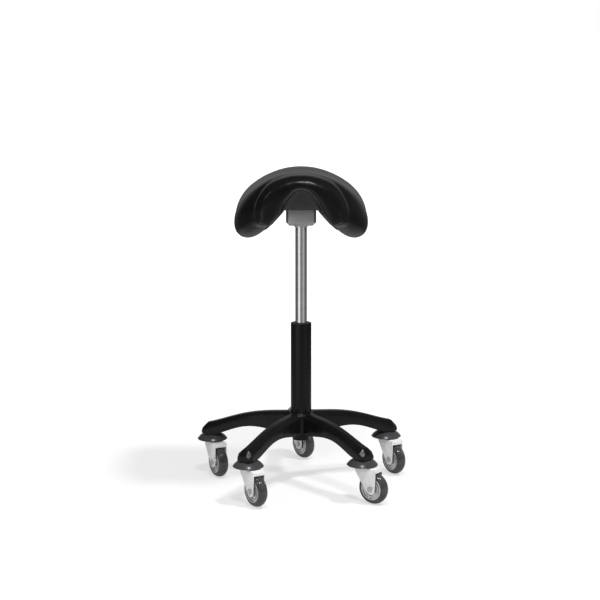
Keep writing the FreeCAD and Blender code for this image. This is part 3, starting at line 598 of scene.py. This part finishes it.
def softened(name, node, body, slot, width, segments=3):
    """Copy of a CAD node with its sharp edges rounded, standing for the node."""
    piece = copied(name, node)
    on_whole_mesh(bpy.ops.mesh.dissolve_limited, angle_limit=FLAT_ANGLE)
    bevelled(piece, width, segments, CORNER_ANGLE)
    bpy.ops.object.shade_smooth_by_angle(angle=SHARP_ANGLE)
    dress(piece, slot)
    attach(piece, body)
    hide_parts(node)


def largest_part(piece):
    """Keeps only the largest connected part."""
    shape = bmesh.new()
    shape.from_mesh(piece.data)
    unseen = set(shape.verts)
    parts = []
    while unseen:
        front = [unseen.pop()]
        part = list(front)
        while front:
            near = front.pop()
            for edge in near.link_edges:
                other = edge.other_vert(near)
                if other in unseen:
                    unseen.remove(other)
                    front.append(other)
                    part.append(other)
        parts.append(part)
    keep = set(max(parts, key=len))
    loose = [vert for vert in shape.verts if vert not in keep]
    bmesh.ops.delete(shape, geom=loose, context="VERTS")
    shape.to_mesh(piece.data)
    shape.free()


def box_piece(name, low, high):
    """Box between two corners."""
    pick_none()
    middle = [(a + b) / 2 for a, b in zip(low, high)]
    bpy.ops.mesh.primitive_cube_add(size=1, location=middle)
    piece = bpy.context.view_layer.objects.active
    piece.name = name
    piece.scale = [b - a for a, b in zip(low, high)]
    bpy.ops.object.transform_apply(location=True, rotation=True, scale=True)
    return piece


def tube(name, spots, radius, slot):
    """Round cord along a row of points."""
    line = bpy.data.curves.new(name, "CURVE")
    line.dimensions = "3D"
    line.bevel_depth = radius
    line.bevel_resolution = 3
    line.use_fill_caps = True
    run = line.splines.new("POLY")
    run.points.add(len(spots) - 1)
    for point, spot in zip(run.points, spots):
        point.co = (*spot, 1.0)
    pick(linked(name, line))
    bpy.ops.object.convert(target="MESH")
    piece = bpy.context.view_layer.objects.active
    bpy.ops.object.shade_smooth()
    dress(piece, slot)
    return piece


# Saddle. Heights are above the floor, and places along the saddle grow from its front to its
# back with 0 over the column. All are in metres.

# Height on the middle plane that the hollow's surface faces; how well a point has to face it to
# begin to count as the hollow's, and how much better to count wholly
HOLLOW_HEIGHT = 0.62
FACING_FROM, FACING_SPAN = 0.1, 0.35

# How far the block that joins the saddle's layers reaches past the mount's plate
FILLER_SIDE, FILLER_BELOW, FILLER_ABOVE = 0.002, 0.0035, 0.012

# Where the lobes' lift begins, and how far below that it is whole. The same for the padding of
# the flanks, which also begins at a place along the saddle and is whole further to the front.
LOBE_TOP, LOBE_SPAN = 0.655, 0.06
FLANK_TOP, FLANK_SPAN = 0.712, 0.045
FLANK_BACK, FLANK_RUN = -0.03, 0.07

# A point is on the front face when its direction's and its place's Y are under these. The roll
# never stands out further than the depth.
FRONT_FACING, FRONT_PLACE, FRONT_DEPTH = -0.8, -0.13, 0.012
RELAXING_STEPS = 700

# A point is held, more or less, when it is less free than the last of these numbers
CLOTH_STEPS = 20
CLOTH = {
    "quality": 5, "mass": 0.3, "tension_stiffness": 12, "compression_stiffness": 12,
    "shear_stiffness": 6, "bending_stiffness": 0.6, "use_pressure": True,
}
HELD_UNDER = 0.98

# Samples of the panel's edge, rows of the panel and points in a row
EDGE_SAMPLES, PANEL_ROWS, ROW_POINTS = 14, 90, 56
PANEL_INSET = 0.0015
PANEL_OVER_EDGE = 0.001
PANEL_CLEAR = 0.0005
PANEL_ROUND = 0.0004

# A row is laid by a fan of rays. Its middle lies at least this far over the panel's edge and at
# most this far under the top of the hollow, and its first ray is looked for at these degrees.
FAN_OVER_EDGE, FAN_UNDER_TOP = 0.02, 0.07
FAN_DEGREES = np.linspace(-50, 90, 141)
UNDER_SADDLE = 0.6

RECESS_OVER_PLATE = 0.0002
SADDLE_GAP, PANEL_GAP = 0.0004, 0.0006

STITCH_RADIUS, STITCH_ROUND, STITCH_CLEAR = 0.00045, 0.0002, 0.0002
CORD_CLEAR, SEAM_CLEAR = 0.0006, 0.0016

# The stitches run along the saddle over these points of every row, and across it over these rows
SEAM_POINTS = 2, -3
SEAM_ROWS = 3, -4

SADDLE_SLOTS = {
    "seat_shell": "shell_plastic", "tee_nuts": "bright_steel", "seat_screws": "bright_steel",
    "seat_foam": "seat_foam",
}


def channel_share(spots, directions):
    """How much each point faces the hollow under the saddle, from 0 to 1."""
    towards = np.stack([-spots[:, 0], np.zeros(len(spots)), HOLLOW_HEIGHT - spots[:, 2]], axis=1)
    towards /= np.maximum(np.linalg.norm(towards, axis=1, keepdims=True), 1e-6)
    facing = (towards * directions).sum(axis=1)
    return np.clip((facing - FACING_FROM) / FACING_SPAN, 0, 1)


def free_share(saddle):
    """How much each point of the saddle is free to move, from 0 in the hollow to 1."""
    return 1 - channel_share(points_of(saddle), directions_of(saddle))


def padded_saddle(sizes):
    """The saddle's padding, swollen against its cover by a short cloth simulation."""
    low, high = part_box("mount_plate")
    saddle = copied("saddle", "seat_cover", "seat_foam", "seat_shell", "seat_bottom_cover")
    filler = box_piece(
        "filler", (low.x - FILLER_SIDE, low.y - FILLER_SIDE, low.z - FILLER_BELOW),
        (high.x + FILLER_SIDE, high.y + FILLER_SIDE, high.z + FILLER_ABOVE))
    pick(saddle, filler)
    bpy.ops.object.join()
    saddle.data.remesh_voxel_size = sizes.mesh_step
    bpy.ops.object.voxel_remesh()
    largest_part(saddle)
    smoothed(saddle, 6)
    move_points(saddle, settled(points_of(saddle), free_share(saddle), sizes))
    smoothed(saddle, 3)
    free = free_share(saddle)
    inset = directions_of(saddle) * (sizes.shrink * free)[:, None]
    move_points(saddle, points_of(saddle) - inset)
    swell(saddle, free, sizes)
    smoothed(saddle, 4)
    modified(saddle, "SUBSURF", levels=1, render_levels=1)
    bulge_front(saddle, sizes)
    return saddle


def eased(share):
    share = np.clip(share, 0, 1)
    return share * share * (3 - 2 * share)


def settled(spots, free, sizes):
    """Padding drawn up under the lobes and pushed into the front of the hollow."""
    low = eased((LOBE_TOP - spots[:, 2]) / LOBE_SPAN)
    under = eased((FLANK_TOP - spots[:, 2]) / FLANK_SPAN)
    ahead = eased((FLANK_BACK - spots[:, 1]) / FLANK_RUN)
    inwards = under * ahead * (1 - free)
    placed = spots.copy()
    placed[:, 2] += sizes.lobe_lift * low
    placed[:, 0] -= np.sign(spots[:, 0]) * sizes.flank_pad * inwards
    return placed


def bulge_front(saddle, sizes):
    """Swells the front face into a roll, highest along its middle, by relaxing a height over it."""
    spots = points_of(saddle)
    inside = (directions_of(saddle)[:, 1] < FRONT_FACING) & (spots[:, 1] < FRONT_PLACE)
    ends = np.zeros(len(saddle.data.edges) * 2, np.int32)
    saddle.data.edges.foreach_get("vertices", ends)
    first, second = ends.reshape(-1, 2).T
    count = np.bincount(ends, minlength=len(spots))
    step = np.linalg.norm(spots[first] - spots[second], axis=1).mean()
    height = np.zeros(len(spots))
    for _ in range(RELAXING_STEPS):
        around = (np.bincount(first, height[second], len(spots))
                  + np.bincount(second, height[first], len(spots)))
        height = np.where(inside, around / count + step * step / 4, 0)
    bulge = sizes.front_bulge * np.sqrt(height)
    spots[:, 1] -= FRONT_DEPTH * np.tanh(bulge / FRONT_DEPTH)
    move_points(saddle, spots)
    smoothed(saddle, 6)


def swell(saddle, free, sizes):
    """Cloth with air pressure inside it, held still where it faces the hollow."""
    before = points_of(saddle)
    group = saddle.vertex_groups.new(name="held")
    for index in np.flatnonzero(free < HELD_UNDER):
        group.add([int(index)], float(1 - free[index]), "REPLACE")
    cloth = saddle.modifiers.new("Cloth", "CLOTH")
    for key, item in CLOTH.items():
        setattr(cloth.settings, key, item)
    cloth.settings.uniform_pressure_force = sizes.pressure
    cloth.settings.vertex_group_mass = group.name
    cloth.settings.effector_weights.gravity = 0
    cloth.collision_settings.use_collision = False
    cloth.point_cache.frame_start = 1
    cloth.point_cache.frame_end = CLOTH_STEPS
    for step in range(1, CLOTH_STEPS + 1):
        bpy.context.scene.frame_set(step)
    shape = saddle.evaluated_get(bpy.context.evaluated_depsgraph_get()).to_mesh()
    after = np.array([point.co for point in shape.vertices], float)
    saddle.modifiers.remove(cloth)
    bpy.context.scene.frame_set(1)
    moved = after - before
    length = np.linalg.norm(moved, axis=1)
    share = np.minimum(1.0, sizes.swell / np.maximum(length, 1e-9))
    move_points(saddle, before + moved * share[:, None])


def edge_heights():
    """Lowest heights of the CAD's bottom cover, with their places along the saddle."""
    spots = np.array([point.co for point in NODES["seat_bottom_cover"].data.vertices], float)
    along = np.linspace(spots[:, 1].min(), spots[:, 1].max(), EDGE_SAMPLES)
    step = along[1] - along[0]
    heights = []
    for place in along:
        near = spots[np.abs(spots[:, 1] - place) <= step]
        heights.append(near[:, 2].min())
    return along, np.array(heights)


def underside_row(surface, along, edge):
    """Points across the hollow at one place along the saddle, from the right edge to the left."""
    top = surface.ray_cast(Vector((0, along, UNDER_SADDLE)), Vector((0, 0, 1)))[0]
    start = Vector((0, along, max(edge + FAN_OVER_EDGE, top.z - FAN_UNDER_TOP)))

    def cast(turn):
        angle = math.radians(turn)
        return surface.ray_cast(start, Vector((math.cos(angle), 0, math.sin(angle))))[:2]

    reach = []
    for turn in FAN_DEGREES:
        hit = cast(turn)[0]
        if hit is not None and hit.z >= edge:
            reach.append(turn)
    first = min(reach)
    return [cast(turn) for turn in np.linspace(first, 180 - first, ROW_POINTS)]


def underside(surface, sizes):
    """Vinyl panel laid in the hollow, with its rows of points and directions."""
    along, heights = edge_heights()
    places = np.linspace(along[0] + PANEL_INSET, along[-1] - PANEL_INSET, PANEL_ROWS)
    edges = [float(np.interp(place, along, heights)) + PANEL_OVER_EDGE for place in places]
    rows = [underside_row(surface, place, edge) for place, edge in zip(places, edges)]
    spots = [hit + direction * PANEL_CLEAR for row in rows for hit, direction in row]
    width = ROW_POINTS
    faces = [(i * width + j, i * width + j + 1, (i + 1) * width + j + 1, (i + 1) * width + j)
             for i in range(len(rows) - 1) for j in range(width - 1)]
    shape = bpy.data.meshes.new("underside_panel")
    shape.from_pydata(spots, [], faces)
    panel = linked("underside_panel", shape)
    pick(panel)
    on_whole_mesh(bpy.ops.mesh.normals_make_consistent, inside=False)
    facing = channel_share(points_of(panel), directions_of(panel)).mean()
    if facing < 0.5:
        panel.data.flip_normals()
    smoothed(panel, 2, 0.4)
    modified(panel, "SOLIDIFY", thickness=sizes.panel_thickness, offset=1.0)
    bevelled(panel, PANEL_ROUND, 2, LOOSE_ANGLE)
    return panel, rows


def cut_recess(piece, gap):
    """Cuts the rectangle for the mount's plate out of a piece."""
    low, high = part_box("mount_plate")
    tool = box_piece("recess", (low.x - gap, low.y - gap, UNDER_SADDLE),
                     (high.x + gap, high.y + gap, high.z + RECESS_OVER_PLATE))
    modified(piece, "BOOLEAN", operation="DIFFERENCE", object=tool, solver="EXACT")
    bpy.data.objects.remove(tool)


def one_stitch(sizes):
    """Short rounded stick along Z, to be repeated."""
    pick_none()
    bpy.ops.mesh.primitive_cylinder_add(vertices=6, radius=STITCH_RADIUS,
                                        depth=sizes.stitch_length)
    on_whole_mesh(bpy.ops.mesh.bevel, offset=STITCH_ROUND, segments=1)
    return bpy.context.view_layer.objects.active


def stitches(name, rows, sizes):
    """Rows of short raised stitches, each row a list of (point, direction out of the surface)."""
    stitch = one_stitch(sizes)
    shape = bmesh.new()
    for row in rows:
        points = [Vector(point) for point, _ in row]
        lengths = np.cumsum([0.0] + [(b - a).length for a, b in zip(points, points[1:])])
        for place in np.arange(sizes.stitch_step / 2, lengths[-1], sizes.stitch_step):
            at = int(np.searchsorted(lengths, place)) - 1
            share = (place - lengths[at]) / max(lengths[at + 1] - lengths[at], 1e-9)
            spot = points[at].lerp(points[at + 1], share)
            outward = Vector(row[at][1]).normalized()
            ahead = (points[at + 1] - points[at]).normalized()
            side = ahead.cross(outward).normalized()
            outward = side.cross(ahead).normalized()
            turn = Matrix((side, outward, ahead)).transposed().to_4x4()
            put = Matrix.Translation(spot + outward * STITCH_CLEAR) @ turn
            first = len(shape.verts)
            shape.from_mesh(stitch.data)
            shape.verts.ensure_lookup_table()
            bmesh.ops.transform(shape, matrix=put, verts=shape.verts[first:])
    merged = bpy.data.meshes.new(name)
    shape.to_mesh(merged)
    shape.free()
    bpy.data.objects.remove(stitch)
    piece = linked(name, merged)
    pick(piece)
    bpy.ops.object.shade_smooth()
    dress(piece, "black_thread")
    return piece


class StoolSaddle(bpy.types.Operator):
    """Model the padded saddle, its underside panel, piping and stitching"""

    bl_idname = "stool.saddle"
    bl_label = "Saddle"

    def execute(self, context):
        sizes = context.scene.stool_sizes
        saddle = padded_saddle(sizes)
        panel, rows = underside(surface_of(saddle), sizes)
        for end, name in ((0, "piping_front"), (-1, "piping_back")):
            cord = tube(name, [hit + direction * CORD_CLEAR for hit, direction in rows[end]],
                        sizes.piping_radius, "piping_black")
            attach(cord, "seat")
            if end == 0:
                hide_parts("seat_piping")
        seams = [[row[index] for row in rows] for index in SEAM_POINTS]
        seams += [rows[index] for index in SEAM_ROWS]
        lines = [[(hit + direction * SEAM_CLEAR, direction) for hit, direction in seam]
                 for seam in seams]
        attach(stitches("seat_stitching", lines, sizes), "seat")
        cut_recess(saddle, SADDLE_GAP)
        cut_recess(panel, PANEL_GAP)
        for piece, slot, nodes in ((saddle, "seat_leather", ("seat_cover", "seat_foam")),
                                   (panel, "underside_vinyl", ("seat_bottom_cover",))):
            pick(piece)
            bpy.ops.object.shade_smooth_by_angle(angle=LOOSE_ANGLE)
            dress(piece, slot)
            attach(piece, "seat")
            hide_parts(*nodes)
        dress_nodes(SADDLE_SLOTS)
        return {"FINISHED"}


# Lift, base and castors

LIFT_SLOTS = {
    "column_tube": "column_black", "guide_bush": "bush_plastic",
    "piston_rod": "bright_steel", "piston": "aluminium_grey", "bump_stop": "black_rubber",
    "retaining_clip": "bright_steel", "thrust_bearing": "bright_steel",
    "gas_cylinder": "lift_chrome", "cylinder_gland": "aluminium_grey",
    "valve_body": "aluminium_grey", "valve_pin": "bright_steel",
    "taper_socket": "mount_grey", "mount_plate": "mount_grey", "lever_pivot": "bright_steel",
}
CASTOR_SLOTS = {
    "stem": "bright_steel", "disc": "disc_grey", "swivel_balls": "bright_steel",
    "axle": "bright_steel", "hub": "wheel_hub_grey", "tyre": "tyre_clear",
}
MOUNT_ROUND, ARM_ROUND, GRIP_ROUND, FORK_ROUND = 0.0012, 0.0008, 0.0026, 0.0007


class StoolLift(bpy.types.Operator):
    """Finish the column, gas lift, mount and release lever"""

    bl_idname = "stool.lift"
    bl_label = "Lift and mount"

    def execute(self, context):
        dress_nodes(LIFT_SLOTS)
        softened("mount_box", "mount_housing", "seat", "mount_grey", MOUNT_ROUND)
        softened("lever_bar", "lever_arm", "lever", "bright_steel", ARM_ROUND)
        softened("lever_handle", "lever_grip", "lever", "grip_plastic", GRIP_ROUND, 4)
        return {"FINISHED"}


class StoolBase(bpy.types.Operator):
    """Round off and finish the star base"""

    bl_idname = "stool.base"
    bl_label = "Star base"

    def execute(self, context):
        sizes = context.scene.stool_sizes
        softened("star_arms", "star_base", "base", "base_nylon", sizes.edge_round)
        return {"FINISHED"}


class StoolCastors(bpy.types.Operator):
    """Finish the castors"""

    bl_idname = "stool.castors"
    bl_label = "Castors"

    def execute(self, context):
        for number in CASTORS:
            name = "castor_%d_" % number
            dress_nodes({name + part: slot for part, slot in CASTOR_SLOTS.items()})
            softened(name + "bracket", name + "fork", name + "swivel", "fork_zinc", FORK_ROUND, 2)
        return {"FINISHED"}


# Studio

WHITE = (1, 1, 1, 1)
FLOOR_COLOUR = (0.62, 0.62, 0.62, 1)
FLOOR_RADIUS, FLOOR_HEIGHT = 14.0, -0.0002

# Brightness of the floor for the camera, through see-through pieces and in gloss near the stool;
# then the distances over which gloss goes over to the far floor and the glow becomes whole
FLOOR_SEEN, FLOOR_SEEN_THROUGH, FLOOR_MIRRORED_NEAR = 1.32, 1.2, 0.5
MIRROR_NEAR, MIRROR_FAR = 0.5, 1.3
GLOW_NEAR, GLOW_FAR, GLOW_SHARE = 0.5, 1.5, 0.45

# What gloss mirrors of the far floor: a brightness everywhere, and patches, each with its
# direction, how well a place has to lie that way to begin and to be whole, and its brightness
FAR_FLOOR = 0.12
FLOOR_PATCHES = (((-0.64, -0.77, 0), 0.9, 0.97, 0.9), ((0, -1, 0), 0.1, 0.9, 0.12),
                 ((0.77, -0.64, 0), 0.9, 0.98, 0.3))

# What gloss mirrors of the world: a brightness everywhere, and more behind, above and to the
# right of the stool, each with its axis, where it begins and is whole, and its brightness.
# Everything else is lit by the last number.
WORLD_GLOSS = 0.02
WORLD_SIDES = ("Y", 0.6, 0.95, 0.28), ("Z", 0.6, 0.95, 0.09), ("X", 0.4, 0.9, 0.16)
WORLD_LIGHT = 0.42

KEY_LAMP = ("key", (2.47, -1.07, 5.76), 0.14, 1.9, "SUN")
FRONT_LAMPS = (("front_high", (0.16, -1.9, 3.6), 0.4, 58.0),
               ("front_left", (-1.7, -1.5, 1.9), 0.3, 4.0))
LAMPS_AIM = Vector((0, 0, 0.4))

CAMERA_PLACE = (-0.0026, -4.0, 1.187)
CAMERA_TURN = (math.radians(79.53), 0, 0)
CAMERA_LENS, CAMERA_SENSOR = 101.46, 36.0


class StoolStudio(bpy.types.Operator):
    """Set up the floor, lamps, world and camera"""

    bl_idname = "stool.studio"
    bl_label = "Studio"

    def execute(self, context):
        studio_floor()
        studio_world()
        key = lamp(*KEY_LAMP)
        key.visible_glossy = False
        for settings in FRONT_LAMPS:
            lamp(*settings)
        studio_camera()
        context.scene.view_settings.view_transform = "Standard"
        return {"FINISHED"}


def rays(made):
    """Whether a ray comes from the camera, from gloss or through a see-through piece."""
    return [made.node("ShaderNodeLightPath", output=name) for name in (
        "Is Camera Ray", "Is Glossy Ray", "Is Transmission Ray")]


def studio_floor():
    """Wide pale floor that keeps soft shadows."""
    pick_none()
    bpy.ops.mesh.primitive_circle_add(vertices=64, radius=FLOOR_RADIUS, fill_type="NGON",
                                      location=(0, 0, FLOOR_HEIGHT))
    floor = bpy.context.view_layer.objects.active
    floor.name = "studio_floor"
    made = Finish("studio_floor")
    camera, gloss, through = rays(made)

    def vector_math(operation, *values, output="Value"):
        return made.node("ShaderNodeVectorMath", {"operation": operation},
                         dict(enumerate(values)), output)

    away = vector_math("LENGTH", made.place)
    towards = vector_math("NORMALIZE", made.place, output="Vector")
    far = FAR_FLOOR
    for aim, low, high, share in FLOOR_PATCHES:
        facing = vector_math("DOT_PRODUCT", towards, aim)
        far = made.limits(facing, low, high) * share + far
    mirrored = made.node("ShaderNodeMix", {"data_type": "FLOAT"}, {
        0: made.limits(away, MIRROR_NEAR, MIRROR_FAR), 2: FLOOR_MIRRORED_NEAR, 3: far})
    plain = made.node("ShaderNodeBsdfDiffuse", None, {"Color": FLOOR_COLOUR})
    strength = camera * FLOOR_SEEN + through * FLOOR_SEEN_THROUGH + gloss * mirrored
    glow = made.node("ShaderNodeEmission", None, {"Color": WHITE, "Strength": strength})
    share = (camera + gloss + through) * made.limits(away, GLOW_NEAR, GLOW_FAR, GLOW_SHARE, 1.0)
    mixed = made.node("ShaderNodeMixShader", None, {0: share, 1: plain, 2: glow})
    made.feed(made.tree.nodes["Material Output"].inputs["Surface"], mixed)
    made.tree.nodes.remove(made.surface)
    floor.data.materials.append(made.material)


def studio_world():
    """White surroundings for the camera, dimmer ones for light and mostly dark ones for gloss."""
    world = bpy.data.worlds.new("studio")
    world.use_nodes = True
    bpy.context.scene.world = world
    made = Finish.__new__(Finish)
    made.tree = world.node_tree
    made.place = made.node("ShaderNodeTexCoord", output="Generated")
    split = made.tree.nodes.new("ShaderNodeSeparateXYZ")
    made.feed(split.inputs[0], made.place)
    mirrored = WORLD_GLOSS
    for axis, low, high, share in WORLD_SIDES:
        side = Wire(made, split.outputs[axis])
        mirrored = made.limits(side, low, high) * share + mirrored
    camera, gloss, through = rays(made)
    other = 1 - camera - gloss - through
    back = made.tree.nodes["Background"]
    back.inputs["Color"].default_value = WHITE
    made.feed(back.inputs["Strength"],
              camera + through + gloss * mirrored + other * WORLD_LIGHT)


def lamp(name, place, size, power, kind="AREA"):
    """Soft lamp turned to the middle of the stool; a sun's size is its angle in the sky."""
    light = bpy.data.lights.new(name, kind)
    light.energy = power
    if kind == "SUN":
        light.angle = size
    else:
        light.size = size
    piece = linked(name, light)
    piece.location = place
    aim = LAMPS_AIM - Vector(place)
    piece.rotation_euler = aim.to_track_quat("-Z", "Y").to_euler()
    return piece


def studio_camera():
    view = bpy.data.cameras.new("camera")
    view.lens = CAMERA_LENS
    view.sensor_width = CAMERA_SENSOR
    piece = linked("camera", view)
    piece.location = CAMERA_PLACE
    piece.rotation_euler = CAMERA_TURN
    bpy.context.scene.camera = piece


class StoolPanel(bpy.types.Panel):
    """Sizes, colours and steps of the saddle stool"""

    bl_idname = "STOOL_PT_stool"
    bl_label = "Saddle stool"
    bl_space_type = "VIEW_3D"
    bl_region_type = "UI"
    bl_category = "Stool"

    def draw(self, context):
        for group in (context.scene.stool_sizes, context.scene.stool_colours):
            for name in group.__annotations__:
                self.layout.prop(group, name)
        for operator in OPERATORS:
            self.layout.operator(operator.bl_idname)


OPERATORS = (StoolSaddle, StoolLift, StoolBase, StoolCastors, StoolStudio)
CLASSES = (StoolSizes, StoolColours) + OPERATORS + (StoolPanel,)


def register():
    for kind in CLASSES:
        bpy.utils.register_class(kind)
    bpy.types.Scene.stool_sizes = bpy.props.PointerProperty(type=StoolSizes)
    bpy.types.Scene.stool_colours = bpy.props.PointerProperty(type=StoolColours)


def unregister():
    del bpy.types.Scene.stool_sizes
    del bpy.types.Scene.stool_colours
    for kind in reversed(CLASSES):
        bpy.utils.unregister_class(kind)


def main():
    register()
    bpy.ops.stool.saddle()
    bpy.ops.stool.lift()
    bpy.ops.stool.base()
    bpy.ops.stool.castors()
    bpy.ops.stool.studio()
    bpy.context.view_layer.update()


if __name__ == "__main__":
    main()
